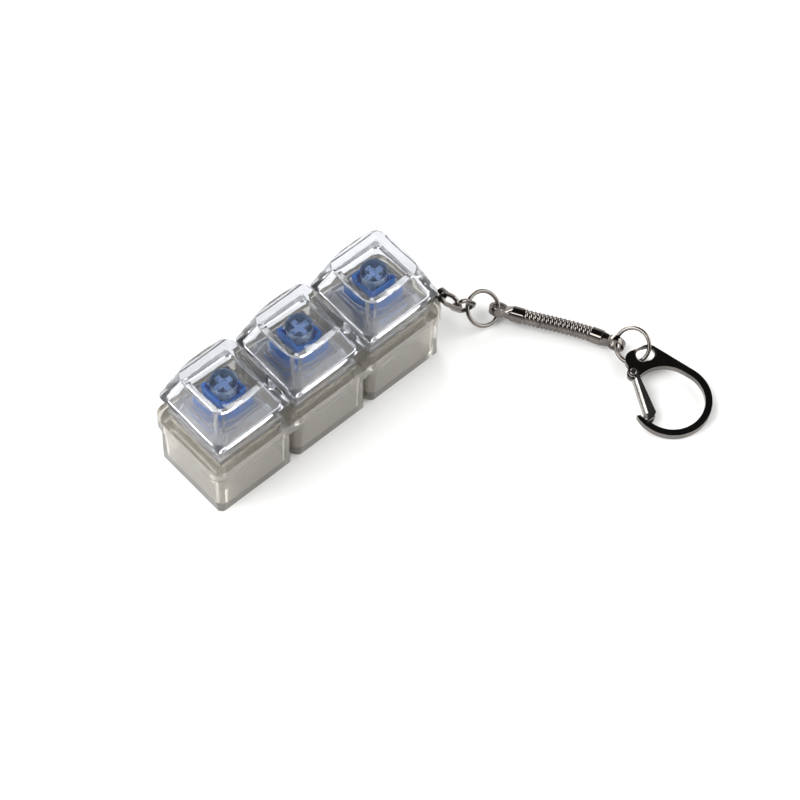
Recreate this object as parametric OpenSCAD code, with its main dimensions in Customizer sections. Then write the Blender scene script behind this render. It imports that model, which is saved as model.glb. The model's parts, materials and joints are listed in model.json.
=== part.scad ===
// Three-key switch tester on a key chain: a clear base with three clear switches and keycaps,
// a metal eye, two links, two rings, a ribbed bending connector and a snap hook.
// Millimetres. Origin at the middle of the foot, +X along the row towards the chain, +Z up.

/* [Row and base] */
// distance between neighbouring keys, the common key spacing
key_pitch = 19.05; // [18:0.05:21]
// height of the deck's top face above the foot
base_h = 15; // [12:0.5:20]
// thickness of the deck slab
deck_t = 3; // [2:0.25:4]
// half depth of the deck across the row
deck_half = 10; // [9.7:0.05:11]
// length of the deck beyond the centre of each end key
deck_end = 10.35; // [9.8:0.05:12]
// radius of the base's upright corners
corner_r = 2.75; // [1:0.25:4]
// how far the tray's rim stands back from the deck's edge
rim_step = 0.3; // [0.1:0.05:1]
// how far each outer wall of the tray leans in down to the foot
draft = 0.6; // [0:0.1:1]
// side of the square pocket in each cell
pocket = 15.6; // [15.2:0.1:16.4]
// thickness of the tray's floor
floor_t = 1.5; // [1:0.25:3]

/* [Switch] */
// side of the switch body and of its hole in the deck
body = 13.9; // [13.5:0.05:14.2]
// clearance around the switch body in the deck
body_gap = 0.05; // [0.03:0.01:0.15]
// side of the flange that rests on the deck
flange = 15.6; // [15:0.1:16.4]
// thickness of that flange
flange_t = 1; // [0.6:0.1:1.5]
// depth of the switch body below the deck's top face
body_depth = 5; // [4.5:0.1:6]
// length of the centre post below the switch body
post_len = 3.3; // [2.5:0.1:4]
// diameter of the centre post
post_d = 4; // [3.6:0.1:4.2]
// height of the top housing's roof above the deck's top face
roof_h = 6.6; // [6:0.1:7.5]
// side of the roof, narrower than the housing's foot
roof = 10.8; // [10.4:0.1:12]
// wall thickness of the switch housing
shell = 1.2; // [1:0.1:1.4]
// key travel
travel = 3.6; // [3:0.1:4]
// side of the stem's square tray
stem_side = 6.6; // [6.4:0.05:6.8]
// wall of the stem's square tray
stem_wall = 0.5; // [0.4:0.05:0.6]
// running clearance between the stem and its housing
stem_gap = 0.1; // [0.05:0.01:0.1]
// height of the stem tray's rim above the deck's top face
stem_top = 9.6; // [9:0.1:10]
// span of the stem's cross
cross_span = 4.1; // [3.9:0.05:4.2]
// thickness of the arms of the cross
cross_t = 1.17; // [1.1:0.01:1.3]
// diameter of the pole that slides in the centre post
pole_d = 1.9; // [1.6:0.05:2]
// mean diameter of the return spring
spring_d = 4.5; // [4.3:0.05:4.6]
// wire diameter of the return spring
spring_wire = 0.36; // [0.28:0.02:0.36]
// thickness of the contact strips
strip_t = 0.3; // [0.2:0.02:0.4]

/* [Keycap] */
// side of the keycap's skirt
cap_side = 18.1; // [17.5:0.1:18.4]
// side of the keycap's top face
cap_top = 12.2; // [11:0.1:14]
// bulge of the top face's sides
cap_bulge = 0.7; // [0.2:0.1:1]
// height of the keycap
cap_h = 8.6; // [8:0.1:10]
// gap between the deck's top face and the skirt with the key up
cap_lift = 5.8; // [4.6:0.1:7]
// wall thickness of the keycap
cap_wall = 1.5; // [1:0.1:2]
// thickness of the keycap's roof over the boss
cap_roof = 1.3; // [1:0.1:2]
// radius of the hollow in the keycap's top
dish_r = 34; // [25:1:60]
// diameter of the boss that grips the stem
boss_d = 5.5; // [5.3:0.05:5.55]
// running clearance of the cross in the boss
cross_gap = 0.04; // [0.02:0.01:0.1]

/* [End eye, links and rings] */
// thickness of the metal eye on the end of the deck
lug_t = 1.1; // [1:0.1:1.4]
// radius of that eye
lug_r = 1.75; // [1.7:0.05:2]
// radius of the hole in that eye
lug_hole_r = 1.02; // [0.95:0.01:1.05]
// reach of the eye's centre beyond the deck's end
lug_reach = 1.8; // [1.75:0.05:2.4]
// distance of the eye in from the deck's side
lug_in = 4.1; // [3:0.1:6]
// diameter of the eye's shank in the deck
shank_d = 1.4; // [1.2:0.1:1.6]
// depth of the shank in the deck
shank_len = 1.8; // [1.5:0.1:2]
// wire diameter of the two links
link_wire = 0.95; // [0.8:0.05:0.95]
// inside width of the two links
link_w = 2.3; // [2.2:0.05:2.6]
// length of a link between the middles of its end arcs
link_len = 6.4; // [6:0.1:6.6]
// slack left where wires and rings meet
slack = 0.12; // [0.1:0.01:0.2]
// heading of link one seen from above
link_1_head = -22.9; // [-25:0.1:-15]
// angle of link one below the level
link_1_dip = 50.5; // [45:0.5:55]
// heading of link two seen from above
link_2_head = 2.4; // [-5:0.1:5]
// angle of link two below the level
link_2_dip = 55.7; // [50:0.1:60]
// roll of link two
link_2_roll = -65; // [-80:1:-55]
// mean diameter of the two jump rings
ring_d = 7; // [6.8:0.05:7.3]
// wire diameter of the two jump rings
ring_wire = 0.85; // [0.7:0.05:0.9]

/* [Bending connector] */
// diameter of the two ferrules
ferrule_d = 3.3; // [3:0.1:3.4]
// length of a ferrule from its eye's centre to the ribbed part
ferrule_len = 5.4; // [5:0.1:6]
// radius of the ferrule's eye
eye_r = 1.95; // [1.9:0.05:2.1]
// radius of the hole in the eye
eye_hole_r = 1.3; // [1.25:0.01:1.35]
// thickness of the flattened eye
eye_t = 1.2; // [0.9:0.1:1.3]
// length of one ribbed segment
seg_len = 3.45; // [3:0.05:4]
// ribs on one segment
seg_ribs = 4; // [3:1:5]
// diameter over the ribs
rib_d = 3.2; // [2.8:0.1:3.4]
// heading of the first ferrule seen from above
head_a = -60; // [-70:1:-50]

/* [Snap hook] */
// thickness of the hook
hook_t = 1.5; // [1.3:0.1:1.7]
// radius of the hook's mouth across its narrow way
mouth_r = 6.65; // [6.4:0.05:6.9]
// half of what the mouth is longer than wide
mouth_long = 0.7; // [0.4:0.1:0.8]
// radius of the hook's outer arc
bow_r = 8; // [7.9:0.05:8.4]
// half width of the oblong hole that takes the ring
hook_hole_r = 1.5; // [1.45:0.05:1.6]
// half of what that hole is longer than wide
hook_hole_long = 0.4; // [0.3:0.1:0.6]
// chamfer on both rims of that hole
hook_hole_bevel = 0.3; // [0.2:0.05:0.4]
// radius of the hook's ear around the pin
ear_r = 1.15; // [1.1:0.05:1.3]
// length of the gate beyond its pin
gate_len = 11.2; // [10.8:0.1:11.4]
// width of the gate at its free end
gate_w = 2.3; // [2:0.1:2.6]
// sheet thickness of the gate
gate_t = 0.35; // [0.25:0.05:0.4]
// running clearance between the gate's cheeks and the hook
gate_gap = 0.1; // [0.05:0.01:0.1]
// diameter of the gate's pin
pin_d = 0.9; // [0.8:0.05:1]
// running clearance around pins and the shank
pin_gap = 0.03; // [0.02:0.01:0.05]

/* [Hidden] */
$fn = 48;
key_x = [-key_pitch, 0, key_pitch];
key_turn = [0, 0, 90];
clear_tint = [0.80, 0.80, 0.78, 0.35];
blue = [0.18, 0.46, 0.82];
copper = [0.73, 0.49, 0.34];
brown = [0.42, 0.28, 0.22];
steel = [0.72, 0.73, 0.75];
nickel = [0.30, 0.29, 0.29];
tray_h = base_h - deck_t;
deck_x = key_pitch + deck_end;
rim_half = deck_half - rim_step;
rim_x = deck_x - rim_step;
cell = key_pitch / 2 + 0.1;
end_cell = (rim_x - key_pitch / 2 + 0.1) / 2;
lug = [deck_x + lug_reach, lug_in - deck_half, base_h - lug_r];
inner = body - 2 * shell;
block_low = 3.6;
block_x = 9.2;
block_z = 5.3;
bore_d = spring_d + spring_wire + 0.3;
spring_low = shell - body_depth;
spring_high = block_z - 0.8;
tube_d = spring_d - spring_wire - 0.3;
stem_floor = roof_h - 0.2;
cross_top = stem_top + 0.6;
cap_low = cap_lift;
cap_high = cap_lift + cap_h;
lid_low = flange_t;
slot = stem_side + 2 * stem_gap;
strip_y = 1.15 - inner / 2;
fixed_x = -4.5;
leaf_x = -1.7;
pin_w = 1.1;
seg_heads = [head_a + 2, head_a + 3, head_a + 1.5, head_a - 1.5];
head_b = head_a - 6;
roll_a = -25;
roll_b = -90;
r1 = [-30, -23.2, 33.9];
r2 = [-59, 13, 40];
hook_turn = [-117, -5, 0];
hook_at = -27;

function dir(az, el) = [cos(el) * cos(az), cos(el) * sin(az), sin(el)];
function across(az) = [-sin(az), cos(az), 0];
function rise(az, el) = [-sin(el) * cos(az), -sin(el) * sin(az), cos(el)];
function side(az, el, roll) = cos(roll) * across(az) + sin(roll) * rise(az, el);

link_1_way = dir(link_1_head, -link_1_dip);
link_2_way = dir(link_2_head, -link_2_dip);
link_2_at = lug + link_len * link_1_way - (link_wire + slack) * link_2_way;
ring_1_at = link_2_at + (link_len - link_wire / 2 - ring_wire / 2 - slack) * link_2_way;
ferrule_a_at = ring_1_at + ring_d * dir(r1[0], r1[1]);
seg_1_at = ferrule_a_at + ferrule_len * dir(head_a, 0);
seg_2_at = seg_1_at + seg_len * dir(seg_heads[0], 0);
seg_3_at = seg_2_at + seg_len * dir(seg_heads[1], 0);
seg_4_at = seg_3_at + seg_len * dir(seg_heads[2], 0);
ferrule_b_at = seg_4_at + seg_len * dir(seg_heads[3], 0);
eye_b_at = ferrule_b_at + ferrule_len * dir(head_b, 0);
ring_2_mid = eye_b_at + ring_d / 2 * dir(r2[0], r2[1]);
ring_2_side = side(r2[0], r2[1], r2[2]);
hook_eye_at = ring_2_mid + ring_d / 2 * (cos(hook_at) * dir(r2[0], r2[1]) + sin(hook_at) * ring_2_side);

// Hook plan, from the centre of its eye: +X along the hook, +Y towards its bow.
pivot = [3.5, -3.9];
mouth = [10.5, 1.4];
mouth_turn = 42;
bow = [11, 1.95];
tip_x = 12.8;
hole_at = [-0.1, -0.3];
web_y = 0.6;
half_gate = hook_t / 2 + gate_gap;
coil_wire = 0.24;
coil_room = 0.5;

module rounded(hx, hy, r) {
    square([2 * hx - 2 * r, 2 * hy], center = true);
    square([2 * hx, 2 * hy - 2 * r], center = true);
    for (sx = [-1, 1])
        for (sy = [-1, 1])
            translate([sx * (hx - r), sy * (hy - r)])
                circle(r);
}

// Block with four leaning sides: half sizes at its foot and at its top.
module leaning(hx0, hy0, hx1, hy1, z0, z1) {
    intersection() {
        rotate([90, 0, 0])
            translate([0, 0, -max(hy0, hy1) - 1])
                linear_extrude(2 * max(hy0, hy1) + 2)
                    polygon([[-hx0, z0], [hx0, z0], [hx1, z1], [-hx1, z1]]);
        rotate([90, 0, 90])
            translate([0, 0, -max(hx0, hx1) - 1])
                linear_extrude(2 * max(hx0, hx1) + 2)
                    polygon([[-hy0, z0], [hy0, z0], [hy1, z1], [-hy1, z1]]);
    }
}

module posed(at, turn) {
    translate(at)
        rotate([0, 0, turn[0]])
            rotate([0, -turn[1], 0])
                rotate([turn[2], 0, 0])
                    children();
}

module at_key(n) {
    translate([key_x[n], 0, base_h])
        rotate([0, 0, key_turn[n]])
            children();
}

module deck() {
    color(clear_tint)
        difference() {
            translate([0, 0, tray_h])
                linear_extrude(deck_t)
                    rounded(deck_x, deck_half, corner_r);
            for (x = key_x) {
                translate([x - body / 2 - body_gap, -body / 2 - body_gap, tray_h - 1])
                    cube([body + 2 * body_gap, body + 2 * body_gap, deck_t + 2]);
                translate([x - body / 2 - 0.6, -body / 2 - 0.6, tray_h - 1])
                    cube([body + 1.2, body + 1.2, deck_t - 0.5]);
            }
            translate([deck_x - shank_len, lug[1], lug[2]])
                rotate([0, 90, 0])
                    cylinder(d = shank_d + 2 * pin_gap, h = shank_len + 1);
        }
}

// Metal eye: an upright disc with its hole, and a shank sunk in the deck's end.
module end_eye() {
    color(nickel)
        translate(lug)
            difference() {
                union() {
                    translate([0, lug_t / 2, 0])
                        rotate([90, 0, 0])
                            cylinder(r = lug_r, h = lug_t);
                    translate([0.02 - lug_reach - shank_len, 0, 0])
                        rotate([0, 90, 0])
                            cylinder(d = shank_d, h = lug_reach + shank_len - lug_hole_r - 0.15);
                }
                translate([0, lug_t, 0])
                    rotate([90, 0, 0])
                        cylinder(r = lug_hole_r, h = 2 * lug_t);
            }
}

module tray() {
    color(clear_tint)
        difference() {
            intersection() {
                leaning(rim_x - draft, rim_half - draft, rim_x, rim_half, 0, tray_h);
                linear_extrude(tray_h)
                    union() {
                        rounded(cell, rim_half, corner_r + draft);
                        for (s = [-1, 1])
                            translate([s * (rim_x - end_cell), 0])
                                rounded(end_cell, rim_half, corner_r + draft);
                    }
            }
            for (x = key_x)
                translate([x, 0, floor_t])
                    linear_extrude(tray_h)
                        rounded(pocket / 2, pocket / 2, corner_r / 2);
        }
}

module bottom_housing(n) {
    color(clear_tint)
        at_key(n)
            difference() {
                union() {
                    difference() {
                        union() {
                            translate([-body / 2, -body / 2, -body_depth])
                                cube([body, body, body_depth]);
                            translate([-flange / 2, -flange / 2, 0])
                                cube([flange, flange, flange_t]);
                        }
                        translate([-inner / 2, -inner / 2, spring_low])
                            cube([inner, inner, body_depth + 2]);
                    }
                    translate([0, 0, -body_depth - post_len])
                        cylinder(d = post_d, h = post_len + 0.5);
                    translate([0, 0, -body_depth])
                        cylinder(d = tube_d, h = shell + 1.6);
                }
                translate([0, 0, -body_depth - post_len + 0.6])
                    cylinder(d = pole_d + 2 * stem_gap, h = 20);
                for (x = [fixed_x, leaf_x + 2])
                    translate([x, strip_y - strip_t / 2 - 0.05, -body_depth - 1])
                        cube([pin_w + 0.2, strip_t + 0.1, 2 * shell]);
            }
}

module top_housing(n) {
    color(clear_tint)
        at_key(n)
            difference() {
                leaning(body / 2, body / 2, roof / 2, roof / 2, lid_low, roof_h);
                leaning(inner / 2, inner / 2, roof / 2 - 0.9, roof / 2 - 0.9, lid_low - 0.01, roof_h - 0.9);
                translate([-slot / 2, -slot / 2, lid_low])
                    cube([slot, slot, roof_h]);
            }
}

module stem(n) {
    color(blue)
        at_key(n)
            difference() {
                union() {
                    translate([-stem_side / 2, -stem_side / 2, block_z - 1])
                        difference() {
                            cube([stem_side, stem_side, stem_top - block_z + 1]);
                            translate([stem_wall, stem_wall, stem_floor - block_z + 1])
                                cube([stem_side - 2 * stem_wall, stem_side - 2 * stem_wall, 9]);
                            translate([stem_side / 2 - 1.9, -1, stem_top - block_z - 0.4])
                                cube([3.8, stem_side + 2, 9]);
                        }
                    translate([-cross_span / 2, -cross_t / 2, stem_floor - 0.2])
                        cube([cross_span, cross_t, cross_top - stem_floor + 0.2]);
                    translate([-cross_t / 2, -cross_span / 2, stem_floor - 0.2])
                        cube([cross_t, cross_span, cross_top - stem_floor + 0.2]);
                    translate([-block_x / 2, -stem_side / 2 + 0.2, block_low])
                        cube([block_x, stem_side - 0.4, block_z - block_low - 0.2]);
                    translate([-stem_side / 2, -stem_side / 2, block_low + 1])
                        cube([stem_side, stem_side, block_z - block_low - 1]);
                }
                translate([0, 0, block_low - 1])
                    cylinder(d = bore_d, h = spring_high - block_low + 1);
            }
    color(blue)
        at_key(n)
            translate([0, 0, spring_low - 0.1])
                cylinder(d = pole_d, h = spring_high - spring_low + 0.6);
}

// Round wire wound into an open coil from z = 0 up to tall.
module coil(mean_d, wire, tall, turns) {
    steps = 16 * turns;
    points = [
        for (i = [0 : steps])
            for (k = [0 : 5])
                let (a = 360 * turns * i / steps, r = mean_d / 2 + wire / 2 * cos(60 * k))
                    [r * cos(a), r * sin(a), wire / 2 * (1 + sin(60 * k)) + (tall - wire) * i / steps]
    ];
    walls = [
        for (i = [0 : steps - 1])
            for (k = [0 : 5])
                let (j = (k + 1) % 6)
                    [[6 * i + k, 6 * i + 6 + k, 6 * i + 6 + j], [6 * i + k, 6 * i + 6 + j, 6 * i + j]]
    ];
    ends = [[0, 1, 2, 3, 4, 5], [for (k = [5 : -1 : 0]) 6 * steps + k]];
    polyhedron(points, concat([for (w = walls) each w], ends));
}

module return_spring(n) {
    color(steel)
        at_key(n)
            translate([0, 0, spring_low])
                coil(spring_d, spring_wire, spring_high - spring_low, 6);
}

// Contact strip standing in the housing, with the pin that leaves through its floor.
module strip(left, wide, pin_at) {
    translate([left, strip_y - strip_t / 2, spring_low + 0.1])
        cube([wide, strip_t, 3.9 - spring_low - 0.1]);
    translate([pin_at, strip_y - strip_t / 2, -body_depth - post_len])
        cube([pin_w, strip_t, post_len + body_depth + spring_low + 0.4]);
}

module fixed_contact(n) {
    color(brown)
        at_key(n)
            strip(fixed_x, 2.6, fixed_x + 0.1);
}

module contact_leaf(n) {
    color(copper)
        at_key(n)
            strip(leaf_x, 3.3, leaf_x + 2.1);
}

// Square with bulging sides and rounded corners, half its side at the corners.
module pillow(half, bulge) {
    arc = (half * half + bulge * bulge) / (2 * bulge);
    intersection_for(a = [0, 90, 180, 270])
        rotate(a)
            translate([half + bulge - arc, 0])
                circle(arc, $fn = 120);
}

// Keycap form: a square skirt tapering to a smaller top whose sides bulge.
module cap_solid(low, high, top, corner, top_corner, bulge) {
    hull() {
        for (sx = [-1, 1])
            for (sy = [-1, 1])
                translate([sx * (low - corner), sy * (low - corner), 0])
                    cylinder(r = corner, h = 0.6, $fn = 24);
        translate([0, 0, high - 0.02])
            linear_extrude(0.02)
                intersection() {
                    rounded(top + bulge, top + bulge, top_corner);
                    pillow(top, bulge);
                }
    }
}

module keycap(n) {
    color([0.88, 0.89, 0.92, 0.3])
        translate([key_x[n], 0, base_h + cap_low])
            difference() {
                union() {
                    difference() {
                        cap_solid(cap_side / 2, cap_h + 1.2, cap_top / 2 - 0.3, 0.9, 4, cap_bulge);
                        translate([0, 0, -0.01])
                            cap_solid(cap_side / 2 - cap_wall, cap_h - cap_roof - 1.1, cap_top / 2 - 1, 1.2, 1.2, 0.1);
                    }
                    translate([0, 0, stem_floor + 0.1 - cap_low])
                        cylinder(d = boss_d, h = cap_h - 1.5 - stem_floor - 0.1 + cap_low);
                }
                translate([0, 0, cap_h - 1.1 + dish_r])
                    sphere(dish_r, $fn = 120);
                rotate([0, 0, key_turn[n]]) {
                    translate([-cross_span / 2 - cross_gap, -cross_t / 2 - cross_gap, -3])
                        cube([cross_span + 2 * cross_gap, cross_t + 2 * cross_gap, cross_top - cap_low + 3.1]);
                    translate([-cross_t / 2 - cross_gap, -cross_span / 2 - cross_gap, -3])
                        cube([cross_t + 2 * cross_gap, cross_span + 2 * cross_gap, cross_top - cap_low + 3.1]);
                }
            }
}

// Link lying along +X with the middle of its near end arc at the origin.
module link_shape() {
    mid_r = (link_w + link_wire) / 2;
    for (far = [0, 1])
        translate([far == 0 ? mid_r : link_len - mid_r, 0, 0])
            rotate([0, 0, far == 0 ? 90 : -90])
                rotate_extrude(angle = 180)
                    translate([mid_r, 0])
                        circle(d = link_wire);
    for (s = [-1, 1])
        translate([mid_r, s * mid_r, 0])
            rotate([0, 90, 0])
                cylinder(d = link_wire, h = link_len - 2 * mid_r);
}

module link_1() {
    color(nickel)
        posed(lug, [link_1_head, -link_1_dip, 0])
            link_shape();
}

module link_2() {
    color(nickel)
        posed(link_2_at, [link_2_head, -link_2_dip, link_2_roll])
            link_shape();
}

module jump_ring() {
    translate([ring_d / 2, 0, 0])
        rotate_extrude()
            translate([ring_d / 2, 0])
                circle(d = ring_wire);
}

module ring_1() {
    color(nickel)
        posed(ring_1_at, r1)
            jump_ring();
}

module ring_2() {
    color(nickel)
        posed(eye_b_at, r2)
            jump_ring();
}

// Ferrule along +X: flattened eye at the origin, barrel up to ferrule_len.
module ferrule() {
    difference() {
        union() {
            translate([0, 0, -eye_t / 2])
                cylinder(r = eye_r, h = eye_t);
            hull() {
                translate([eye_hole_r + 0.15, -1.2, -eye_t / 2])
                    cube([0.2, 2.4, eye_t]);
                translate([eye_r + 1.1, 0, 0])
                    rotate([0, 90, 0])
                        cylinder(d = ferrule_d - 0.12, h = 0.3, $fn = 40);
            }
            translate([eye_r + 1, 0, 0])
                rotate([0, 90, 0])
                    cylinder(d = ferrule_d, h = ferrule_len - eye_r - 1.12);
        }
        translate([0, 0, -eye_t])
            cylinder(r = eye_hole_r, h = 2 * eye_t);
    }
}

module ferrule_a() {
    color(nickel)
        posed(ferrule_a_at, [head_a, 0, roll_a])
            ferrule();
}

module ferrule_b() {
    color(nickel)
        posed(eye_b_at, [head_b + 180, 0, roll_b])
            ferrule();
}

module snake(at, heading) {
    rib = seg_len / seg_ribs;
    color(nickel)
        translate(at)
            rotate([0, 0, heading])
                rotate([0, 90, 0])
                    rotate_extrude()
                        intersection() {
                            union() {
                                translate([0, 0.08])
                                    square([rib_d / 2 - 0.35, seg_len - 0.16]);
                                for (i = [0 : seg_ribs - 1])
                                    translate([rib_d / 2 - rib * 0.42, (i + 0.5) * rib])
                                        circle(rib * 0.42);
                            }
                            square([rib_d, seg_len]);
                        }
}

module snake_1() {
    snake(seg_1_at, seg_heads[0]);
}

module snake_2() {
    snake(seg_2_at, seg_heads[1]);
}

module snake_3() {
    snake(seg_3_at, seg_heads[2]);
}

module snake_4() {
    snake(seg_4_at, seg_heads[3]);
}

// Circle drawn out to both sides of its middle.
module oblong(r, long) {
    for (x = [-long, long])
        translate([x, 0])
            circle(r, $fn = 96);
    square([2 * long, 2 * r], center = true);
}

module mouth_plan() {
    translate(mouth)
        rotate(mouth_turn)
            oblong(mouth_r, mouth_long);
}

module hook_plan() {
    difference() {
        union() {
            difference() {
                translate(bow)
                    circle(bow_r, $fn = 96);
                translate([tip_x - 20, mouth[1] - 20])
                    square(20);
            }
            translate(pivot)
                circle(ear_r);
            for (at = [[0.1, 0.3], [0.7, -2.5]])
                translate(at)
                    circle(2.1);
            polygon([
                [-1.35, 1.8], [-2, 0.3], [-1.4, -2.6], [pivot[0] - 0.5, pivot[1] - 1.04],
                [pivot[0] + ear_r - 0.05, pivot[1] + 0.3], [pivot[0] + 1, pivot[1] + 1.4],
                [5, 3], [bow[0] - 5.1, bow[1] + 6.16]
            ]);
        }
        mouth_plan();
    }
}

module hook_hole(grow, tall) {
    for (y = [-hook_hole_long, hook_hole_long])
        translate([hole_at[0], hole_at[1] + y, 0])
            cylinder(r1 = hook_hole_r, r2 = hook_hole_r + grow, h = tall);
    translate([hole_at[0] - hook_hole_r, hole_at[1] - hook_hole_long, 0])
        cube([2 * hook_hole_r, 2 * hook_hole_long, tall]);
}

module hook_body() {
    color(nickel)
        posed(hook_eye_at, hook_turn)
            difference() {
                translate([0, 0, -hook_t / 2])
                    linear_extrude(hook_t)
                        hook_plan();
                translate([0, 0, -hook_t])
                    hook_hole(0, 2 * hook_t);
                for (s = [0, 1])
                    mirror([0, 0, s])
                        translate([0, 0, hook_t / 2 - hook_hole_bevel])
                            hook_hole(hook_hole_bevel + 0.1, hook_hole_bevel + 0.1);
                translate([pivot[0], pivot[1], -hook_t])
                    cylinder(d = pin_d + 2 * pin_gap, h = 2 * hook_t);
                translate([pivot[0], pivot[1], hook_t / 2 - coil_room])
                    cylinder(r = ear_r + 0.1, h = 1);
            }
}

// Side wall of the gate, from its pin to its free end.
module cheek_plan() {
    circle(0.95);
    polygon([
        [0, -0.95], [1.5, web_y - 0.3], [gate_len - 1.7, web_y - 0.3], [gate_len, web_y - 0.9],
        [gate_len - 0.6, web_y + 0.6], [gate_len - 1.6, gate_w - 0.4], [0.3, 0.9]
    ]);
}

// Gate: a half round channel outside and two cheeks that straddle the hook.
module hook_gate() {
    color(steel)
        posed(hook_eye_at, hook_turn)
            translate([pivot[0], pivot[1], 0])
                difference() {
                    union() {
                        for (z = [half_gate, -half_gate - gate_t])
                            translate([0, 0, z])
                                linear_extrude(gate_t)
                                    cheek_plan();
                        difference() {
                            translate([1.5, web_y, 0])
                                rotate([0, 90, 0])
                                    cylinder(r = half_gate + gate_t, h = gate_len - 3.2);
                            translate([0, web_y, 0])
                                rotate([0, 90, 0])
                                    cylinder(r = half_gate, h = gate_len);
                            translate([0, web_y, -2 * hook_t])
                                cube([gate_len, 2 * hook_t, 4 * hook_t]);
                        }
                    }
                    translate([0, 0, -2 * hook_t])
                        cylinder(d = pin_d + 2 * pin_gap, h = 4 * hook_t);
                }
}

module gate_pin() {
    half = half_gate + gate_t;
    color(steel)
        posed(hook_eye_at, hook_turn)
            translate([pivot[0], pivot[1], 0]) {
                translate([0, 0, -half])
                    cylinder(d = pin_d, h = 2 * half);
                for (s = [0, 180])
                    rotate([s, 0, 0])
                        translate([0, 0, half])
                            cylinder(d = pin_d + 0.4, h = 0.2);
            }
}

module gate_spring() {
    color(steel)
        posed(hook_eye_at, hook_turn)
            for (turn = [0, 1])
                translate([pivot[0], pivot[1], half_gate - (turn + 0.5) * coil_wire - 0.02])
                    rotate_extrude()
                        translate([pin_d / 2 + 0.1 + coil_wire / 2, 0])
                            circle(d = coil_wire + 0.02);
}

deck();
tray();
end_eye();
bottom_housing(0);  // bottom_housing_1
top_housing(0);  // top_housing_1
stem(0);  // stem_1
return_spring(0);  // spring_1
fixed_contact(0);  // fixed_contact_1
contact_leaf(0);  // contact_leaf_1
keycap(0);  // keycap_1
bottom_housing(1);  // bottom_housing_2
top_housing(1);  // top_housing_2
stem(1);  // stem_2
return_spring(1);  // spring_2
fixed_contact(1);  // fixed_contact_2
contact_leaf(1);  // contact_leaf_2
keycap(1);  // keycap_2
bottom_housing(2);  // bottom_housing_3
top_housing(2);  // top_housing_3
stem(2);  // stem_3
return_spring(2);  // spring_3
fixed_contact(2);  // fixed_contact_3
contact_leaf(2);  // contact_leaf_3
keycap(2);  // keycap_3
link_1();
link_2();
ring_1();
ferrule_a();
snake_1();
snake_2();
snake_3();
snake_4();
ferrule_b();
ring_2();
hook_body();
hook_gate();
gate_pin();
gate_spring();
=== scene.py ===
"""Looks for the three-key switch tester on its key chain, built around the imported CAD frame."""
import json
import math

import bpy
from mathutils import Matrix, Vector

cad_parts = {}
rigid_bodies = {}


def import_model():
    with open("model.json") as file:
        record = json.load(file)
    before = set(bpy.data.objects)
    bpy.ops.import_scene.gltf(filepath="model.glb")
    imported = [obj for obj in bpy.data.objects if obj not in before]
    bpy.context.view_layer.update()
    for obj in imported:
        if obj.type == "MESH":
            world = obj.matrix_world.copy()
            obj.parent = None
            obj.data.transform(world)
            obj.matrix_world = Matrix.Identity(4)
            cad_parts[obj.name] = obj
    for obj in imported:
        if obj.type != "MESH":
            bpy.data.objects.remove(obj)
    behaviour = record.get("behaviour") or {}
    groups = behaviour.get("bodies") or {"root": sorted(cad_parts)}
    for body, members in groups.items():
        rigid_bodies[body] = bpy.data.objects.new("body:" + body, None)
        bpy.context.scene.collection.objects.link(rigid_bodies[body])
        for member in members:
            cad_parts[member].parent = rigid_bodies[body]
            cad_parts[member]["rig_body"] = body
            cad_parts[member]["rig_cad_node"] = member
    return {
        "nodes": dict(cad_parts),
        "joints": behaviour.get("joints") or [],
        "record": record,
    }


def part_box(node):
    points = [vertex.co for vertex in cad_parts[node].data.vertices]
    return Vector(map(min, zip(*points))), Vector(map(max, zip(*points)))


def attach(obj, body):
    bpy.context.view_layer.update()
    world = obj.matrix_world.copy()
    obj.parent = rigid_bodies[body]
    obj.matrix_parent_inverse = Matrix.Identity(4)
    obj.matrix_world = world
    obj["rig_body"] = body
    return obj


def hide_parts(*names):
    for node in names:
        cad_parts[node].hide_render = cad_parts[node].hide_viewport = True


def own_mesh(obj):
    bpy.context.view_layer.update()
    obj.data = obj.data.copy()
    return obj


bl_info = {
    "name": "Key-switch tester",
    "version": (1, 0, 0),
    "blender": (4, 5, 0),
    "location": "3D View > Sidebar > Key tester",
    "description": "Clear keys on a clear base, with chain, ribbed connector and snap hook",
    "category": "Object",
}

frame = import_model()
NODES = frame["nodes"]
JOINTS = {joint["name"]: joint for joint in frame["joints"]}
BODY_OF = {node: body for body, nodes in frame["record"]["behaviour"]["bodies"].items() for node in nodes}
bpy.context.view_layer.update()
MM = 0.001
# lengths below are in millimetres and angles in degrees
HAIR = 0.02
RIBS = 4
RIB_RADIUS = 1.6
RIB_WIRE = 0.4
RIB_SLANT = 6
BOSS_REACH = 2.8
BELOW_DISH = 1.5
COIL_WIRE = 0.36
COIL_TURNS = 6
COIL_STEPS = 28


# Placing and selecting

def deselect():
    """Leaves edit mode and clears the selection."""
    if bpy.context.object and bpy.context.object.mode != "OBJECT":
        bpy.ops.object.mode_set(mode="OBJECT")
    bpy.ops.object.select_all(action="DESELECT")


def pick(obj):
    """Makes obj the only selected and the active object."""
    deselect()
    obj.select_set(True)
    bpy.context.view_layer.objects.active = obj


def pick_parts(obj, kind, test):
    """Selects the faces, edges or vertices of obj that pass the test, and stays in edit mode."""
    pick(obj)
    bpy.ops.object.mode_set(mode="EDIT")
    bpy.ops.mesh.select_mode(type=kind)
    bpy.ops.mesh.select_all(action="DESELECT")
    bpy.ops.object.mode_set(mode="OBJECT")
    parts = {"FACE": obj.data.polygons, "EDGE": obj.data.edges, "VERT": obj.data.vertices}[kind]
    for part in parts:
        part.select = bool(test(part))
    bpy.ops.object.mode_set(mode="EDIT")


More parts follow.
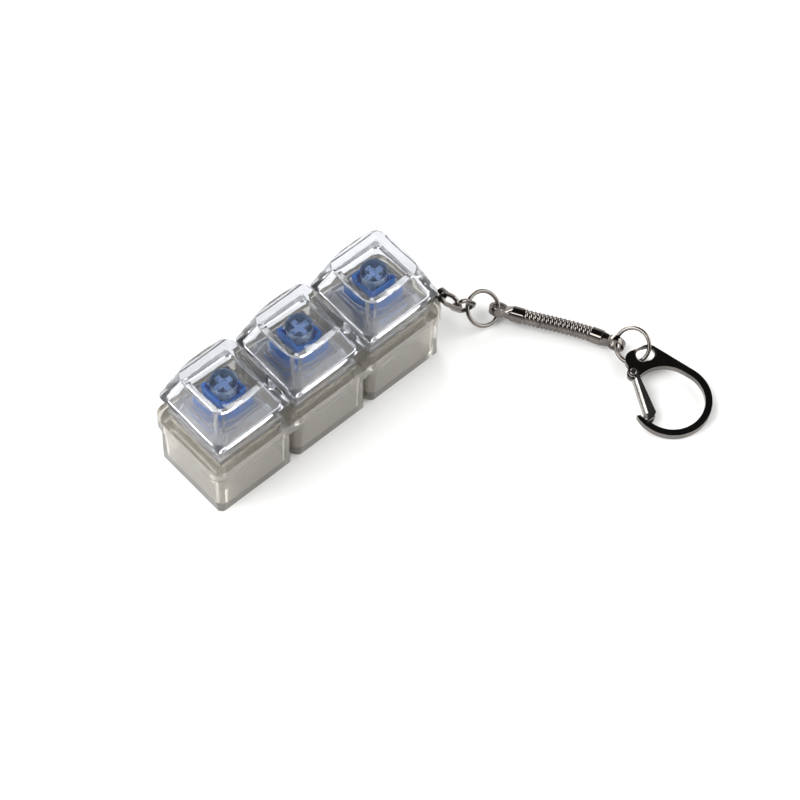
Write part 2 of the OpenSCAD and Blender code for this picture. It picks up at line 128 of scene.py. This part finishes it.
def apply_modifier(obj, kind, **settings):
    """Adds a modifier with its settings and applies it."""
    pick(obj)
    modifier = obj.modifiers.new(kind.title(), kind)
    for name, value in settings.items():
        setattr(modifier, name, value)
    bpy.ops.object.modifier_apply(modifier=modifier.name)


def cut_with(obj, tool, operation="DIFFERENCE"):
    """Cuts, joins or trims obj with another piece, which is then removed."""
    apply_modifier(obj, "BOOLEAN", operation=operation, object=tool, solver="EXACT")
    mesh = tool.data
    bpy.data.objects.remove(tool)
    bpy.data.meshes.remove(mesh)


def draw_in(obj, amount):
    """Draws every face in by a hair, so that pieces that rest on each other share no face."""
    pick_parts(obj, "FACE", lambda face: True)
    bpy.ops.transform.shrink_fatten(value=-amount * MM)
    bpy.ops.object.mode_set(mode="OBJECT")


def smooth(obj, angle=35):
    """Smooth shading up to an angle between faces."""
    pick(obj)
    bpy.ops.object.shade_smooth_by_angle(angle=math.radians(angle))


def place(obj, matrix):
    """Puts a piece that was made at the origin in its place, and keeps the place in its mesh."""
    pick(obj)
    obj.matrix_world = matrix @ obj.matrix_world
    bpy.context.view_layer.update()
    bpy.ops.object.transform_apply(location=True, rotation=True, scale=True)


def settle(obj, name, nodes, material):
    """Names a piece, gives it its material, and lets it stand for its CAD nodes on their body."""
    obj.name = name
    obj.data.name = name
    obj.data.materials.clear()
    obj.data.materials.append(material)
    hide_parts(*nodes)
    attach(obj, BODY_OF[nodes[0]])
    deselect()
    return obj


def merged(node, flat=0.6):
    """A copy of a CAD node with its corners joined and its flat faces whole."""
    source = NODES[node]
    pick(source)
    bpy.ops.object.duplicate()
    copy = bpy.context.object
    copy.parent = None
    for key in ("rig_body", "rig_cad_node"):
        if key in copy:
            del copy[key]
    bpy.ops.mesh.customdata_custom_splitnormals_clear()
    bpy.ops.object.mode_set(mode="EDIT")
    bpy.ops.mesh.select_all(action="SELECT")
    bpy.ops.mesh.remove_doubles(threshold=2e-6)
    bpy.ops.mesh.dissolve_limited(angle_limit=math.radians(flat))
    bpy.ops.mesh.normals_make_consistent(inside=False)
    bpy.ops.object.mode_set(mode="OBJECT")
    return copy


def rounded(obj, rounding, segments=3, crease=30):
    """Rounds the edges of a piece that are sharper than the crease, and shades it smooth."""
    if rounding:
        apply_modifier(obj, "BEVEL", width=rounding * MM, segments=segments, limit_method="ANGLE",
                       angle_limit=math.radians(crease), use_clamp_overlap=True, harden_normals=False)
    smooth(obj, 40)
    if rounding:
        apply_modifier(obj, "WEIGHTED_NORMAL", mode="FACE_AREA", weight=50, keep_sharp=True)
    return obj


def dressed(node, rounding, segments=3, crease=30, flat=0.6):
    """A merged copy of a CAD node with rounded edges and smooth shading."""
    return rounded(merged(node, flat), rounding, segments, crease)


# Materials

def linear(code):
    """A linear colour from an sRGB hex value."""
    parts = [int(code[i:i + 2], 16) / 255 for i in (1, 3, 5)]
    return tuple(p / 12.92 if p <= 0.04045 else ((p + 0.055) / 1.055) ** 2.4 for p in parts) + (1.0,)


def add(material, kind, links=None, **settings):
    """Adds one node with its settings and links: links maps an input to (node, output)."""
    tree = material.node_tree
    node = tree.nodes.new(kind)
    for name, value in settings.items():
        if name.startswith("in_"):
            key = int(name[3:]) if name[3:].isdigit() else name[3:].replace("_", " ")
            node.inputs[key].default_value = value
        else:
            setattr(node, name, value)
    for key, (source, output) in (links or {}).items():
        tree.links.new(source.outputs[output], node.inputs[key])
    return node


def new_material(name):
    """An empty node material with its output, Principled shader and Object coordinates."""
    material = bpy.data.materials.new(name)
    material.use_nodes = True
    material.node_tree.nodes.clear()
    shader = add(material, "ShaderNodeBsdfPrincipled")
    add(material, "ShaderNodeOutputMaterial", {"Surface": (shader, "BSDF")})
    place_node = add(material, "ShaderNodeTexCoord")
    return material, shader, place_node


def join(material, source, output, target, key):
    """Links one output to one input."""
    material.node_tree.links.new(source.outputs[output], target.inputs[key])


def clear_plastic(name, tint, haze, ripple_mm, clarity, ior=1.49):
    """Clear moulded plastic: bright rims, a little haze and slight ripples from the mould."""
    material, shader, where = new_material(name)
    shader.inputs["IOR"].default_value = ior
    shader.inputs["Transmission Weight"].default_value = clarity
    shader.inputs["Base Color"].default_value = linear(tint)
    ripple = add(material, "ShaderNodeTexNoise", {"Vector": (where, "Object")},
                 in_Scale=1 / (ripple_mm * MM), in_Detail=2.0)
    grade = add(material, "ShaderNodeMapRange", {"Value": (ripple, "Fac")}, in_3=haze * 0.4, in_4=haze * 1.6)
    join(material, grade, "Result", shader, "Roughness")
    bump = add(material, "ShaderNodeBump", {"Height": (ripple, "Fac")}, in_Strength=0.08, in_Distance=0.05 * MM)
    join(material, bump, "Normal", shader, "Normal")
    return material


def blue_plastic(name, colour):
    """Moulded acetal: satin, a little translucent, with faint flow marks."""
    material, shader, where = new_material(name)
    shader.inputs["IOR"].default_value = 1.48
    shader.inputs["Coat Weight"].default_value = 0.1
    shader.inputs["Coat Roughness"].default_value = 0.12
    shader.inputs["Subsurface Weight"].default_value = 0.12
    shader.inputs["Subsurface Radius"].default_value = (0.4, 0.6, 1.0)
    shader.inputs["Subsurface Scale"].default_value = 0.6 * MM
    flow = add(material, "ShaderNodeTexNoise", {"Vector": (where, "Object")}, in_Scale=700.0, in_Detail=3.0)
    tone = add(material, "ShaderNodeMix", {"Factor": (flow, "Fac")}, data_type="RGBA")
    tone.inputs[6].default_value = linear(colour)
    tone.inputs[7].default_value = linear("#1488E6")
    join(material, tone, 2, shader, "Base Color")
    grade = add(material, "ShaderNodeMapRange", {"Value": (flow, "Fac")}, in_3=0.28, in_4=0.42)
    join(material, grade, "Result", shader, "Roughness")
    return material


def metal(name, colour, worn, rough, grain_mm, bump_strength=0.1):
    """Plated or rolled metal: base tone, slightly paler worn patches and fine grain in its gloss."""
    material, shader, where = new_material(name)
    shader.inputs["Metallic"].default_value = 1.0
    patch = add(material, "ShaderNodeTexNoise", {"Vector": (where, "Object")}, in_Scale=260.0, in_Detail=4.0)
    step = add(material, "ShaderNodeMapRange", {"Value": (patch, "Fac")}, in_1=0.45, in_2=0.75)
    tone = add(material, "ShaderNodeMix", {"Factor": (step, "Result")}, data_type="RGBA")
    tone.inputs[6].default_value = linear(colour)
    tone.inputs[7].default_value = linear(worn)
    join(material, tone, 2, shader, "Base Color")
    grain = add(material, "ShaderNodeTexNoise", {"Vector": (where, "Object")},
                in_Scale=1 / (grain_mm * MM), in_Detail=3.0)
    grade = add(material, "ShaderNodeMapRange", {"Value": (grain, "Fac")}, in_3=rough * 0.6, in_4=rough * 1.5)
    join(material, grade, "Result", shader, "Roughness")
    bump = add(material, "ShaderNodeBump", {"Height": (grain, "Fac")}, in_Strength=bump_strength, in_Distance=0.02 * MM)
    join(material, bump, "Normal", shader, "Normal")
    return material


MATERIALS = {}


def material(name):
    """Makes each finish once."""
    if name not in MATERIALS:
        tints = bpy.context.scene.key_tester_tints
        makers = {
            # acrylic, injection moulded: warm grey where several walls overlap; the grey tint is painted shade,
            # standing in for grey surroundings seen through the clear walls
            "acrylic_moulded_base": lambda: clear_plastic(name, tints.base, 0.09, 3.0, 0.88),
            # polycarbonate, injection moulded: neutral, thin and crisp
            "polycarbonate_moulded_housing": lambda: clear_plastic(name, tints.housing, 0.09, 1.6, 0.85, 1.58),
            # acrylic, moulded and polished: the clearest of the three
            "acrylic_polished_keycap": lambda: clear_plastic(name, tints.keycap, 0.035, 4.0, 0.97),
            # acrylic, moulded against a matt pin: frosted around the blue stem; its pale blue tint is painted light,
            # standing in for the blue stem showing through the boss
            "acrylic_frosted_boss": lambda: clear_plastic(name, tints.boss, 0.3, 1.0, 0.55),
            # acetal, injection moulded: satin bright blue
            "acetal_moulded_blue": lambda: blue_plastic(name, tints.stem),
            # stainless spring wire, drawn: bright and even
            "stainless_drawn_wire": lambda: metal(name, "#B9BBBE", "#D5D6D8", 0.18, 0.12),
            # phosphor bronze, rolled and stamped: warm copper tone with soft roll grain
            "bronze_rolled_leaf": lambda: metal(name, "#B98A66", "#D2A27C", 0.32, 0.2),
            # brass, rolled and dulled: brown and matt
            "brass_rolled_dull": lambda: metal(name, "#6E4838", "#8C6450", 0.42, 0.25),
            # zinc alloy, cast and plated dark nickel: mirror-like, dark under a dark ceiling
            "zinc_plated_dark_nickel": lambda: metal(name, tints.nickel, "#837E79", 0.07, 0.3, 0.04),
            # steel sheet, pressed and nickel plated: paler and softer
            "steel_pressed_nickel": lambda: metal(name, "#A5A29E", "#BDBAB6", 0.18, 0.3),
        }
        MATERIALS[name] = makers[name]()
    return MATERIALS[name]


# User settings

class KeyTesterSizes(bpy.types.PropertyGroup):
    """Sizes that a user may change."""
    edge: bpy.props.FloatProperty(name="Moulded edge", description="Radius of the moulded plastic edges",
        default=0.25, min=0.05, max=0.6)
    deck_edge: bpy.props.FloatProperty(name="Deck edge", description="Radius of the deck's rims",
        default=0.5, min=0.1, max=1.2)
    cap_edge: bpy.props.FloatProperty(name="Keycap edge", description="Radius of the keycap's edges",
        default=0.35, min=0.1, max=1)
    hook_edge: bpy.props.FloatProperty(name="Hook edge", description="Radius of the cast hook's edges",
        default=0.5, min=0.1, max=0.8)
    sheet_edge: bpy.props.FloatProperty(name="Sheet edge", description="Radius of pressed sheet edges",
        default=0.1, min=0.02, max=0.15)


class KeyTesterTints(bpy.types.PropertyGroup):
    """Colours that a user may change, as sRGB hex values."""
    # the base's grey tint is painted shade: it stands in for grey surroundings seen through the clear walls
    base: bpy.props.StringProperty(name="Base", description="Tint of the clear base",
        default="#DCD8CF")
    housing: bpy.props.StringProperty(name="Housing", description="Tint of the clear switch housings",
        default="#F1F3F6")
    keycap: bpy.props.StringProperty(name="Keycap", description="Tint of the clear keycaps",
        default="#D4D6DB")
    stem: bpy.props.StringProperty(name="Stem", description="Colour of the stems",
        default="#0072DA")
    # the boss's pale blue tint is painted light: it stands in for the blue stem showing through it
    boss: bpy.props.StringProperty(name="Boss", description="Tint of the frosted boss over the stem",
        default="#C2DEF8")
    nickel: bpy.props.StringProperty(name="Dark nickel", description="Colour of the chain and hook",
        default="#6E6965")


# Pieces

class MakeBase(bpy.types.Operator):
    """Clear deck slab with its lug, and the tray of three pockets"""
    bl_idname = "key_tester.base"
    bl_label = "Base"

    def execute(self, context):
        sizes = context.scene.key_tester_sizes
        look = material("acrylic_moulded_base")
        base = merged("deck")
        cut_with(base, merged("tray"), "UNION")
        pick_parts(base, "FACE", lambda face: True)
        bpy.ops.mesh.remove_doubles(threshold=2e-6)
        bpy.ops.mesh.dissolve_limited(angle_limit=math.radians(0.6))
        bpy.ops.object.mode_set(mode="OBJECT")
        draw_in(base, HAIR)
        rounded(base, sizes.deck_edge)
        settle(base, "clear_base", ["deck", "tray"], look)
        settle(dressed("end_eye", sizes.sheet_edge), "end_eye_plated", ["end_eye"], material("zinc_plated_dark_nickel"))
        return {"FINISHED"}


class MakeHousings(bpy.types.Operator):
    """Clear lower and upper housings of the three switches"""
    bl_idname = "key_tester.housings"
    bl_label = "Switch housings"

    def execute(self, context):
        sizes = context.scene.key_tester_sizes
        look = material("polycarbonate_moulded_housing")
        for n in "123":
            for node, rounding, name in (("bottom_housing_", 0.6, "lower_housing_"),
                                         ("top_housing_", 1.0, "upper_housing_")):
                shell = merged(node + n)
                draw_in(shell, HAIR)
                settle(rounded(shell, sizes.edge * rounding, 2), name + n, [node + n], look)
        return {"FINISHED"}


class MakeStems(bpy.types.Operator):
    """Blue stems with their square tray and cross"""
    bl_idname = "key_tester.stems"
    bl_label = "Stems"

    def execute(self, context):
        sizes = context.scene.key_tester_sizes
        for n in "123":
            stem = dressed("stem_" + n, sizes.edge * 0.5)
            settle(stem, "blue_stem_" + n, ["stem_" + n], material("acetal_moulded_blue"))
        return {"FINISHED"}


class MakeKeycaps(bpy.types.Operator):
    """Clear keycaps with a hollow top and a boss over the stem"""
    bl_idname = "key_tester.keycaps"
    bl_label = "Keycaps"

    def execute(self, context):
        sizes = context.scene.key_tester_sizes
        for n in "123":
            cap = dressed("keycap_" + n, sizes.cap_edge, 3, 30, 1.5)
            settle(cap, "clear_keycap_" + n, ["keycap_" + n], material("acrylic_polished_keycap"))
            low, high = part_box("stem_" + n)
            axis = Vector(((low.x + high.x) / 2, (low.y + high.y) / 2))
            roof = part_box("keycap_" + n)[1].z - BELOW_DISH * MM
            cap.data.materials.append(material("acrylic_frosted_boss"))
            on_boss = [point.co.z < roof and (point.co.xy - axis).length < BOSS_REACH * MM
                       for point in cap.data.vertices]
            pick_parts(cap, "FACE", lambda face: all(on_boss[i] for i in face.vertices))
            cap.active_material_index = 1
            bpy.ops.object.material_slot_assign()
            bpy.ops.object.mode_set(mode="OBJECT")
            deselect()
        return {"FINISHED"}


class MakeSprings(bpy.types.Operator):
    """Return springs, coiled from wire in place of the CAD springs"""
    bl_idname = "key_tester.springs"
    bl_label = "Return springs"

    def execute(self, context):
        for n in "123":
            low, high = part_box("spring_" + n)
            wire = COIL_WIRE * MM
            radius = (high.x - low.x) / 2 - wire / 2
            rise = (high.z - low.z - wire) / COIL_TURNS
            deselect()
            bpy.ops.mesh.primitive_circle_add(vertices=8, radius=wire / 2, location=(radius, 0, 0),
                                              rotation=(math.pi / 2, 0, 0))
            coil = bpy.context.object
            bpy.ops.object.transform_apply(location=True, rotation=True, scale=True)
            apply_modifier(coil, "SCREW", axis="Z", angle=2 * math.pi, screw_offset=rise, iterations=COIL_TURNS,
                           steps=COIL_STEPS, render_steps=COIL_STEPS, use_merge_vertices=True)
            pick_parts(coil, "EDGE", lambda edge: False)
            bpy.ops.mesh.select_non_manifold()
            bpy.ops.mesh.edge_face_add()
            bpy.ops.mesh.select_all(action="SELECT")
            bpy.ops.mesh.normals_make_consistent(inside=False)
            bpy.ops.object.mode_set(mode="OBJECT")
            smooth(coil, 50)
            foot = ((low.x + high.x) / 2, (low.y + high.y) / 2, low.z)
            place(coil, Matrix.Translation((foot[0], foot[1], low.z + wire / 2)))
            settle(coil, "return_coil_" + n, ["spring_" + n], material("stainless_drawn_wire"))
            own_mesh(coil)
        return {"FINISHED"}


class MakeContacts(bpy.types.Operator):
    """Copper leaves and dull fixed contacts"""
    bl_idname = "key_tester.contacts"
    bl_label = "Contacts"

    def execute(self, context):
        sizes = context.scene.key_tester_sizes
        for n in "123":
            for node, name, look in (("contact_leaf_", "bronze_leaf_", "bronze_rolled_leaf"),
                                     ("fixed_contact_", "brass_contact_", "brass_rolled_dull")):
                settle(dressed(node + n, sizes.sheet_edge * 0.6, 2), name + n, [node + n], material(look))
        return {"FINISHED"}


def ribbed_segment(start, end):
    """Core of one connector segment with its slightly slanted round ribs."""
    long = (end - start).length
    pitch = long / RIBS
    deselect()
    bpy.ops.mesh.primitive_cylinder_add(vertices=56, radius=RIB_RADIUS * 0.9 * MM, depth=long - 0.1 * MM,
                                        location=(0, 0, long / 2))
    core = bpy.context.object
    bpy.ops.object.transform_apply(location=True, rotation=True, scale=True)
    for i in range(RIBS):
        deselect()
        bpy.ops.mesh.primitive_torus_add(major_segments=64, minor_segments=14,
                                         major_radius=(RIB_RADIUS - RIB_WIRE) * MM, minor_radius=RIB_WIRE * MM,
                                         location=(0, 0, (i + 0.5) * pitch), rotation=(0, math.radians(RIB_SLANT), 0))
        rib = bpy.context.object
        bpy.ops.object.transform_apply(location=True, rotation=True, scale=True)
        cut_with(core, rib, "UNION")
    smooth(core, 45)
    place(core, Matrix.Translation(start) @ (end - start).to_track_quat("Z", "Y").to_matrix().to_4x4())
    return core


class MakeChain(bpy.types.Operator):
    """Links, jump rings, ferrules and the ribbed bending connector"""
    bl_idname = "key_tester.chain"
    bl_label = "Chain and connector"

    def execute(self, context):
        look = material("zinc_plated_dark_nickel")
        for node in ("link_1", "link_2", "ring_1", "ring_2"):
            settle(dressed(node, 0), node + "_plated", [node], look)
        bends = ("snake_1", "snake_2", "snake_3", "snake_4", "ferrule_b")
        for node, after in zip(bends, bends[1:]):
            start, end = (Vector(JOINTS[name + "_bend"]["pos_m"]) for name in (node, after))
            settle(ribbed_segment(start, end), node + "_ribbed", [node], look)
        for node in ("ferrule_a", "ferrule_b"):
            settle(dressed(node, 0.2, 3, 30, 2), node + "_plated", [node], look)
        return {"FINISHED"}


class MakeHook(bpy.types.Operator):
    """Cast snap hook with its pressed gate, pin and coil"""
    bl_idname = "key_tester.hook"
    bl_label = "Snap hook"

    def execute(self, context):
        sizes = context.scene.key_tester_sizes
        body = dressed("hook_body", sizes.hook_edge, 5, 35, 0.5)
        settle(body, "cast_hook", ["hook_body"], material("zinc_plated_dark_nickel"))
        settle(dressed("hook_gate", sizes.sheet_edge), "pressed_gate", ["hook_gate"], material("steel_pressed_nickel"))
        settle(dressed("gate_pin", sizes.sheet_edge), "riveted_pin", ["gate_pin"], material("steel_pressed_nickel"))
        settle(dressed("gate_spring", 0), "gate_coil", ["gate_spring"], material("stainless_drawn_wire"))
        return {"FINISHED"}


class MakeStage(bpy.types.Operator):
    """Pale floor, soft lights and the camera at the photograph's angle"""
    bl_idname = "key_tester.stage"
    bl_label = "Stage"

    def execute(self, context):
        deselect()
        bpy.ops.mesh.primitive_plane_add(size=6, location=(0, 0, -0.0002))
        floor = bpy.context.object
        floor.name = "pale_floor"
        bpy.ops.object.transform_apply(location=True, rotation=True, scale=True)
        surface, shader, where = new_material("paper_matt_white")
        shader.inputs["Base Color"].default_value = linear("#F6F6F5")
        shader.inputs["Specular IOR Level"].default_value = 0.2
        tooth = add(surface, "ShaderNodeTexNoise", {"Vector": (where, "Object")}, in_Scale=900.0)
        grade = add(surface, "ShaderNodeMapRange", {"Value": (tooth, "Fac")}, in_3=0.75, in_4=0.9)
        join(surface, grade, "Result", shader, "Roughness")
        floor.data.materials.append(surface)
        world = bpy.data.worlds.new("Studio")
        context.scene.world = world
        world.use_nodes = True
        backdrop = world.node_tree.nodes["Background"]
        ray = add(world, "ShaderNodeNewGeometry")
        split = add(world, "ShaderNodeSeparateXYZ", {"Vector": (ray, "Incoming")})
        height = add(world, "ShaderNodeMapRange", {"Value": (split, "Z")}, in_1=-0.65, in_2=-0.15, in_3=0.0, in_4=1.0)
        shade = add(world, "ShaderNodeMix", {"Factor": (height, "Result")}, data_type="RGBA")
        shade.inputs[6].default_value = (0.035, 0.035, 0.036, 1)
        shade.inputs[7].default_value = (1.15, 1.15, 1.16, 1)
        join(world, shade, 2, backdrop, "Color")
        backdrop.inputs["Strength"].default_value = 1.0
        for name, spot, size, power in (("key_soft", (-0.55, 0.25, 0.75), 0.8, 12.0),
                                        ("fill_soft", (0.7, -0.55, 0.6), 0.9, 10.0),
                                        ("back_soft", (0.3, 0.85, 0.45), 0.5, 5.0)):
            light = bpy.data.lights.new(name, "AREA")
            light.size = size
            light.energy = power
            lamp = bpy.data.objects.new(name, light)
            context.scene.collection.objects.link(lamp)
            aim = (Vector((0.02, -0.01, 0.01)) - Vector(spot)).to_track_quat("-Z", "Y")
            lamp.matrix_world = Matrix.Translation(spot) @ aim.to_matrix().to_4x4()
        context.scene.view_settings.view_transform = "Standard"
        context.scene.cycles.max_bounces = 32
        context.scene.cycles.transmission_bounces = 32
        context.scene.cycles.sample_clamp_indirect = 6.0
        lens = bpy.data.cameras.new("photo_camera")
        lens.sensor_width = 36
        lens.lens = 166.5
        lens.clip_start = 0.01
        camera = bpy.data.objects.new("photo_camera", lens)
        context.scene.collection.objects.link(camera)
        look = Vector((0.3574, 0.3956, -0.846)).normalized()
        right = Vector((0.7472, -0.6646, 0.0049)).normalized()
        up = right.cross(look).normalized()
        right = look.cross(up)
        facing = Matrix((right, up, -look)).transposed().to_4x4()
        camera.matrix_world = Matrix.Translation((-0.24664, -0.30198, 0.61884)) @ facing
        context.scene.camera = camera
        return {"FINISHED"}


class KeyTesterPanel(bpy.types.Panel):
    """Lists the makers in the sidebar"""
    bl_idname = "VIEW3D_PT_key_tester"
    bl_label = "Key tester"
    bl_space_type = "VIEW_3D"
    bl_region_type = "UI"
    bl_category = "Key tester"

    def draw(self, context):
        for group in (context.scene.key_tester_sizes, context.scene.key_tester_tints):
            for name in group.__annotations__:
                self.layout.prop(group, name)
        for maker in MAKERS:
            self.layout.operator(maker.bl_idname)


MAKERS = (MakeStage, MakeBase, MakeHousings, MakeStems, MakeKeycaps, MakeSprings, MakeContacts, MakeChain, MakeHook)
CLASSES = (KeyTesterSizes, KeyTesterTints) + MAKERS + (KeyTesterPanel,)


def register():
    """Adds the classes and their settings to Blender."""
    for item in CLASSES:
        bpy.utils.register_class(item)
    bpy.types.Scene.key_tester_sizes = bpy.props.PointerProperty(type=KeyTesterSizes)
    bpy.types.Scene.key_tester_tints = bpy.props.PointerProperty(type=KeyTesterTints)


def unregister():
    """Takes them out again."""
    del bpy.types.Scene.key_tester_sizes
    del bpy.types.Scene.key_tester_tints
    for item in reversed(CLASSES):
        bpy.utils.unregister_class(item)


def main():
    """Makes every piece in order."""
    register()
    for maker in MAKERS:
        group, action = maker.bl_idname.split(".")
        getattr(getattr(bpy.ops, group), action)()


if __name__ == "__main__":
    main()
